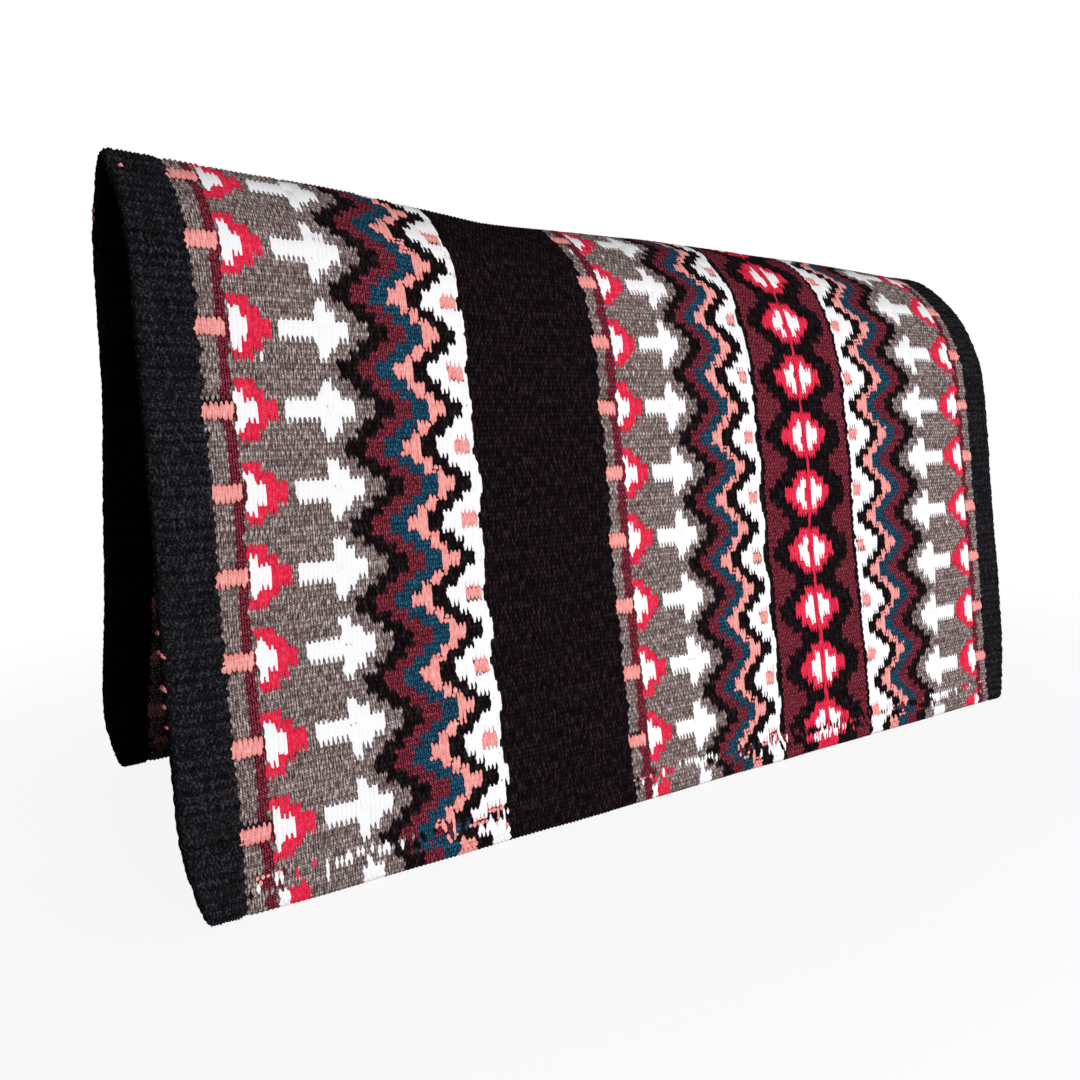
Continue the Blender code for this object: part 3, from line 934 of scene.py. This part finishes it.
def laid_down(add, leaves, held, sizes, place):
    """Leaves moved from the flat cloth to the draped web, with their height along its normal."""
    flat_x, flat_y, height = add(SPLIT, (place,)).outputs
    on_cloth = add(MATH, (flat_x, sizes["Map Reach"]), "MINIMUM")
    other_end = add(MATH, (sizes["Map Reach"], -1.0), "MULTIPLY")
    on_cloth = add(MATH, (on_cloth, other_end), "MAXIMUM")
    on_cloth = add(COMBINE, (on_cloth, flat_y))
    web = add("GeometryNodeObjectInfo", {"Object": sizes["Web"]}, transform_space="ORIGINAL")
    found = []
    for value in (place, held["outward"]):
        sockets = {
            "Mesh": web.outputs["Geometry"], "Value": value, "UV Map": held["flat"],
            "Sample UV": on_cloth,
        }
        found.append(add("GeometryNodeSampleUVSurface", sockets, data_type="FLOAT_VECTOR"))
    foot, outward = found
    raised = add(VECTOR_MATH, {0: outward, "Scale": height}, "SCALE")
    laid = add(VECTOR_MATH, (foot, raised), "ADD")
    x, y, z = add(SPLIT, (laid,)).outputs
    z = add(MATH, (z, sizes["Floor Height"]), "MAXIMUM")
    return add(SET_POSITION, {"Geometry": leaves, "Position": add(COMBINE, (x, y, z))})


def lay_yarn_tree(materials):
    """Builds floats on the points, lays them on the web and gives each its yarn."""
    tree = bpy.data.node_groups.new("lay_yarn_on_the_web", "GeometryNodeTree")
    face = tree.interface
    face.new_socket("Geometry", in_out="INPUT", socket_type="NodeSocketGeometry")
    face.new_socket("Web", in_out="INPUT", socket_type="NodeSocketObject")
    for name in ("Tip Length", "Sunk Edge", "Map Reach", "Floor Height"):
        face.new_socket(name, in_out="INPUT", socket_type="NodeSocketFloat")
    face.new_socket("Geometry", in_out="OUTPUT", socket_type="NodeSocketGeometry")
    add = partial(node, tree)
    sizes = add("NodeGroupInput").outputs
    place = add("GeometryNodeInputPosition").outputs[0]
    held = {
        name: add("GeometryNodeInputNamedAttribute", {"Name": name}, data_type=kind).outputs[0]
        for kind, names in TREE_VALUES.items()
        for name in names
    }
    leaves = all_leaves(add, sizes["Geometry"], place, held["kind"])
    leaves = full_size(add, leaves, held, sizes)
    leaves = mapped(add, leaves, held, place)
    leaves = laid_down(add, leaves, held, sizes, place)
    for number, material in enumerate(materials):
        sockets = {2: held["yarn"], 3: number}
        mine = add(COMPARE, sockets, "EQUAL", data_type="INT")
        sockets = {"Geometry": leaves, "Selection": mine, "Material": material}
        leaves = add("GeometryNodeSetMaterial", sockets)
    add("NodeGroupOutput", (leaves,))
    return tree


def set_input(modifier, name, value):
    """Sets a modifier's input by its socket's identifier."""
    for item in modifier.node_group.interface.items_tree:
        if item.item_type == "SOCKET" and item.in_out == "INPUT" and item.name == name:
            modifier[item.identifier] = value


# Building the pieces

CURL_SHARE = 0.18
TINT_SPREAD, TINT_LIMIT = 0.5, 1.2


def turned_in(made):
    """The same floats on the web's inner face, as plainer leaves."""
    plain = np.where(made.kind == LEAF, PLAIN_LEAF, made.kind)
    return made._replace(warp=np.sign(made.warp) * (INNER_WARPS - abs(made.warp)), kind=plain)


def float_points(name, made):
    """Points on the flat cloth, one for each float, that hold what the tree needs."""
    count = len(made.mm)
    random = np.random.default_rng(SEED + count)
    fibre_curl = random.normal(0, CURL_SHARE, count) * made.length
    home = np.stack([made.mm * MM - HALF_LENGTH, made.warp * WARP_PITCH, made.lift], -1)
    low = home.min(0) - 2 * WARP_PITCH
    span = home.max(0) + 2 * WARP_PITCH - low
    mesh = bpy.data.meshes.new(name)
    mesh.vertices.add(count)
    mesh.vertices.foreach_set("co", home.reshape(-1).astype(np.float32))
    keep_at_points(
        mesh, "FLOAT_VECTOR", home=home, size=np.stack([made.width, made.length, made.crown], -1),
        map_low=np.tile(low, (count, 1)), map_size=np.tile(span, (count, 1)),
    )
    keep_at_points(
        mesh, "FLOAT", turn=made.turn, curl=np.where(made.kind == FIBRE, fibre_curl, 0.0),
        tint=random.normal(0, TINT_SPREAD, count).clip(-TINT_LIMIT, TINT_LIMIT),
    )
    keep_at_points(mesh, "INT", yarn=made.yarn, kind=made.kind)
    return mesh


def yarn_piece(name, made, tree, web):
    """Plain mesh of the floats, laid on the web by the tree."""
    made = Floats(*[np.concatenate(values) for values in zip(*made)])
    holder = link(name, float_points(name, made))
    modifier = holder.modifiers.new("lay yarn", "NODES")
    modifier.node_group = tree
    sizes = {
        "Web": web, "Tip Length": TIP_LENGTH, "Sunk Edge": SUNK_EDGE, "Map Reach": MAP_REACH,
        "Floor Height": 0.0,
    }
    for key, value in sizes.items():
        set_input(modifier, key, value)
    ready = holder.evaluated_get(bpy.context.evaluated_depsgraph_get())
    baked = bpy.data.meshes.new_from_object(ready)
    for key in NEEDED_WHILE_LAYING:
        baked.attributes.remove(baked.attributes[key])
    holder.modifiers.remove(modifier)
    holder.data = baked
    baked.name = name
    return holder


# The strands of an edge band: a unit and its share for the length, then shares of a float's width
# and crown, degrees of turn, and how far a strand strays in millimetres and in warps
Strand = namedtuple("Strand", "unit length width crown turn stray warp_stray")
NAP = Strand(FLOAT_LENGTH, (0.75, 1.15), (0.75, 1.05), (0.55, 1.0), 13.0, 0.35, 0.12)
LUMP = Strand(MM, (6.0, 9.5), (1.0, 1.5), 1.25, 14.0, 0.5, 0.15)
ROLL = Strand(MM, (10.0, 13.0), 1.0, (0.85, 1.05), 3.0, 0.25, 0.12)
HAIR = Strand(MM, (2.0, 6.5), 0.042, (0.3, 1.1), 0, 0, 0)

# Where they lie: millimetres between strands of the nap, how far inside the join the lumps are, how
# many lumps and hairs a warp has and how many warps a strand of the roll takes, with the warps left
# free at the ends of a row
NAP_SPACING = 2.7
JOIN_INSET = 0.4
LUMPS_PER_WARP, LUMP_ENDS = 0.62, 0.6
ROLL_WARPS, ROLL_START, ROLL_END = 1.7, 0.8, 0.4
HAIRS_PER_WARP = 1.6

# Bits of salmon sewing yarn that show at the front edge: (place in mm, warp, size in mm)
YARN_BITS = {
    "near_drape": (
        (-1.5, -98.0, 4.2), (-1.5, -101.6, 4.5), (1.5, -101.8, 3.0), (-2.0, -108.0, 4.6),
        (0.5, -108.2, 4.4), (-1.0, -111.8, 4.0), (-1.0, -115.6, 3.4),
    ),
    "ridge": ((8.5, -9.0, 3.2), (-2.0, 11.0, 3.6), (-2.0, 13.0, 3.2)),
    "far_drape": (),
}
BIT_WIDTH, BIT_CROWN = 0.8, 1.3


def strands(mm, warp, yarn, look, random, kind=LEAF):
    """Strands of one look. A size with two limits is drawn between them for each strand."""
    def drawn(size):
        return random.uniform(*size, len(mm)) if isinstance(size, tuple) else size

    return floats(
        mm, warp, yarn, random, length=look.unit * drawn(look.length), width=drawn(look.width),
        crown=drawn(look.crown), turn=look.turn, kind=kind,
    )


def loose_fibres(count, low, high, first, last, random):
    """Fine fibres that stand off the nap of a fulled band."""
    mm, warp = random.uniform(low, high, count), random.uniform(first, last, count)
    made = strands(mm, warp, LOOSE, HAIR, random, FIBRE)
    return made._replace(turn=random.uniform(0, math.pi, count), lift=made.lift + PROUD)


def edge_band(low, high, first, last, random, free_side):
    """Charcoal wool band, fulled so that its weave hardly shows, with a roll and a lumpy join."""
    mm, warp = lattice(NAP_SPACING, low, high, first, last)
    inside = between(mm, low, high)
    count = inside.sum()
    mm = mm[inside] + random.normal(0, NAP.stray, count)
    warp = warp[inside] + 0.5 + random.normal(0, NAP.warp_stray, count)
    nap = strands(mm, warp, CHARCOAL, NAP, random)

    count = round((last - first) * LUMPS_PER_WARP)
    warp = np.linspace(first + LUMP_ENDS, last - LUMP_ENDS, count)
    warp = warp + random.normal(0, LUMP.warp_stray, count)
    join = (high - JOIN_INSET) if free_side < 0 else (low + JOIN_INSET)
    lumps = strands(join + random.normal(0, LUMP.stray, count), warp, CHARCOAL, LUMP, random)

    warp = np.arange(first + ROLL_START, last - ROLL_END, ROLL_WARPS)
    count = len(warp)
    warp = warp + random.normal(0, ROLL.warp_stray, count)
    nose = (HALF_THICKNESS - CORE_HALF * math.pi / 2) / MM
    edge = nose if free_side < 0 else 2 * HALF_LENGTH / MM - nose
    roll = strands(edge + random.normal(0, ROLL.stray, count), warp, CHARCOAL, ROLL, random)

    hairs = round((last - first) * HAIRS_PER_WARP)
    return [nap, lumps, roll, loose_fibres(hairs, low, high, first, last, random)]


def yarn_bits(body, random):
    """Short ends of salmon sewing yarn on the front edge, one at each place."""
    for mm, warp, size in YARN_BITS[body]:
        bit = floats(
            np.array([mm]), np.array([warp]), SALMON, random, length=size * MM, width=BIT_WIDTH,
            crown=BIT_CROWN,
        )
        yield bit._replace(lift=bit.lift + PROUD)


def band_floats(body, band, start, end):
    """All floats of one weft band on one body."""
    random = np.random.default_rng(SEED + sum(map(ord, body + band)))
    first, last = BODY_WARPS[body]
    hem = (HEM_WARP, HEM_WARP + CAP_WARPS)
    if body == "near_drape":
        hem = (-HEM_WARP - CAP_WARPS, -HEM_WARP)
    if "edge" in band:
        free_side = -1 if start == 0 else 1
        reach = (CORE_HALF * YARN_TURN - HALF_THICKNESS) / MM
        low, high = (start - reach, end) if free_side < 0 else (start, end + reach)
        made = edge_band(low, high, first, last, random, free_side)
        nap, *_ = edge_band(low, high, first, last, random, free_side)
        made.append(turned_in(nap))
        if body != "ridge":
            made += edge_band(low, high, *hem, random, free_side)
        if free_side < 0:
            made += yarn_bits(body, random)
        return made
    made = woven_floats(start, end, first, last, random)
    made.append(turned_in(plain_floats(start, end, first, last, random)))
    if body != "ridge":
        made.append(plain_floats(start, end, *hem, random))
    return made


# Each drawn part of the cloth, with two bodies, and a start and an end place. Below it are the
# bodies whose solids it stands for
BLENDS = {
    "near_drape": ("near_crown", "near_flap", (0, -0.07, 0.402), (0, -0.07, 0.325)),
    "ridge": ("near_crown", "far_crown", (0, -0.034, 0.44), (0, 0.034, 0.44)),
    "far_drape": ("far_crown", "far_flap", (0, 0.07, 0.402), (0, 0.07, 0.325)),
}
REPLACED = {
    "near_drape": ("near_flap",),
    "ridge": ("near_crown", "far_crown"),
    "far_drape": ("far_flap",),
}

web = laid_web()
wools = [dyed_wool_with_painted_shade(name, DYES_AND_SHADES[name]) for name in YARNS]
warp_cotton = warp_cotton_in_painted_shade()
tree = lay_yarn_tree(wools)

for body, (first_body, second_body, start, end) in BLENDS.items():
    core = link(f"{body}_core", core_mesh(f"{body}_core", loop_of(body)))
    core.data.materials.append(warp_cotton)
    for band, low, high, slot in BANDS:
        piece = yarn_piece(f"{body}_{band}", band_floats(body, band, low, high), tree, web)
        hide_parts(*[f"{part}_{band}" for part in REPLACED[body]])
        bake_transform(piece)
        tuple(start)
        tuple(end)
    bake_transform(core)
    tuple(start)
    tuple(end)
    first, last = BODY_WARPS[body]

bpy.data.objects.remove(web)


# Stage, light and camera

# The floor turns plain white with distance, in metres, and sooner across the blanket than along it
FLOOR_REACH = 6.0
FADE_START, FADE_END = 0.5, 1.1
FADE_STRETCH = (1.0, 1.6, 1.0)
WHITE_NEAR, WHITE_FAR = 0.9, 1.0

# It looks pale to the camera, but throws less light up at the cloth than it looks to
PAPER_SEEN, PAPER_THROWN = "#f4f4f4", "#6a6a6a"
PLAIN_WHITE = (1, 1, 1, 1)


def stage():
    """White paper floor, matt, that keeps the blanket's shadow and turns plain white further off."""
    paper, add = empty_material("matt_white_paper")
    place = add("ShaderNodeTexCoord").outputs["Object"]
    away = add(VECTOR_MATH, (place, FADE_STRETCH), "MULTIPLY")
    away = add(VECTOR_MATH, (away,), "LENGTH").outputs["Value"]
    sockets = (away, FADE_START, FADE_END, WHITE_NEAR, WHITE_FAR)
    fade = add(MAP_RANGE, sockets, interpolation_type="SMOOTHSTEP")
    seen = add("ShaderNodeLightPath").outputs["Is Camera Ray"]
    white = add(MATH, (fade, seen), "MULTIPLY")
    sockets = {0: seen, 6: linear(PAPER_THROWN), 7: linear(PAPER_SEEN)}
    colour = add("ShaderNodeMix", sockets, data_type="RGBA").outputs[2]
    matt = add("ShaderNodeBsdfDiffuse", {"Color": colour})
    glow = add("ShaderNodeEmission", {"Color": PLAIN_WHITE, "Strength": 1.0})
    mixed = add("ShaderNodeMixShader", (white, matt, glow))
    add("ShaderNodeOutputMaterial", {"Surface": mixed})
    corners = np.array([(-1, -1, 0), (1, -1, 0), (1, 1, 0), (-1, 1, 0)]) * FLOOR_REACH
    floor = link("floor", mesh_from("floor", corners, np.array([(0, 1, 2, 3)])))
    floor.data.materials.append(paper)


# Lamps: name, place, size and power. The back lamp only keeps the unseen side from going dark
LAMPS = (
    ("key", (-0.1, -2.3, 0.35), 1.0, 49.0),
    ("fill", (2.0, -1.5, 0.4), 1.4, 12.0),
    ("top", (0.2, -0.5, 2.3), 1.6, 3.0),
    ("back", (0.4, 2.4, 0.9), 1.4, 26.0),
)
LAMP_AIM = (0, 0, 0.2)
AMBIENT = 0.16


def lamps():
    """Soft lamps round the blanket, and a weak sky that the camera sees as plain white."""
    world = bpy.data.worlds.new("soft_studio")
    bpy.context.scene.world = world
    world.use_nodes = True
    world.node_tree.nodes.clear()
    add = partial(node, world.node_tree)
    seen = add("ShaderNodeLightPath").outputs["Is Camera Ray"]
    strength = add(MAP_RANGE, {0: seen, 3: AMBIENT, 4: 1.0})
    sky = add("ShaderNodeBackground", {"Color": PLAIN_WHITE, "Strength": strength})
    add("ShaderNodeOutputWorld", (sky,))
    for name, place, size, power in LAMPS:
        data = bpy.data.lights.new(name, "AREA")
        data.size = size
        data.energy = power
        lamp = bpy.data.objects.new(name, data)
        lamp.location = place
        aim = Vector(LAMP_AIM) - Vector(place)
        lamp.rotation_euler = aim.to_track_quat("-Z", "Y").to_euler()
        bpy.context.scene.collection.objects.link(lamp)


CAMERA_PLACE = (-0.5755, -0.6735, 0.3397)
CAMERA_YAW, CAMERA_PITCH, CAMERA_ROLL = (math.radians(angle) for angle in (36.53, -10.26, 1.55))
CAMERA_LENS, CAMERA_SENSOR = 31.64, 36.0
CAMERA_CLIP = 0.01


def camera():
    """The photograph's point of view."""
    data = bpy.data.cameras.new("photo_view")
    data.lens = CAMERA_LENS
    data.sensor_width = CAMERA_SENSOR
    data.clip_start = CAMERA_CLIP
    view = bpy.data.objects.new("photo_view", data)
    turn = (
        Matrix.Rotation(-CAMERA_YAW, 4, "Z")
        @ Matrix.Rotation(math.pi / 2 + CAMERA_PITCH, 4, "X")
        @ Matrix.Rotation(CAMERA_ROLL, 4, "Z")
    )
    view.matrix_world = Matrix.Translation(CAMERA_PLACE) @ turn
    bpy.context.scene.collection.objects.link(view)
    bpy.context.scene.camera = view


stage()
lamps()
camera()
bpy.context.scene.view_settings.view_transform = "Standard"
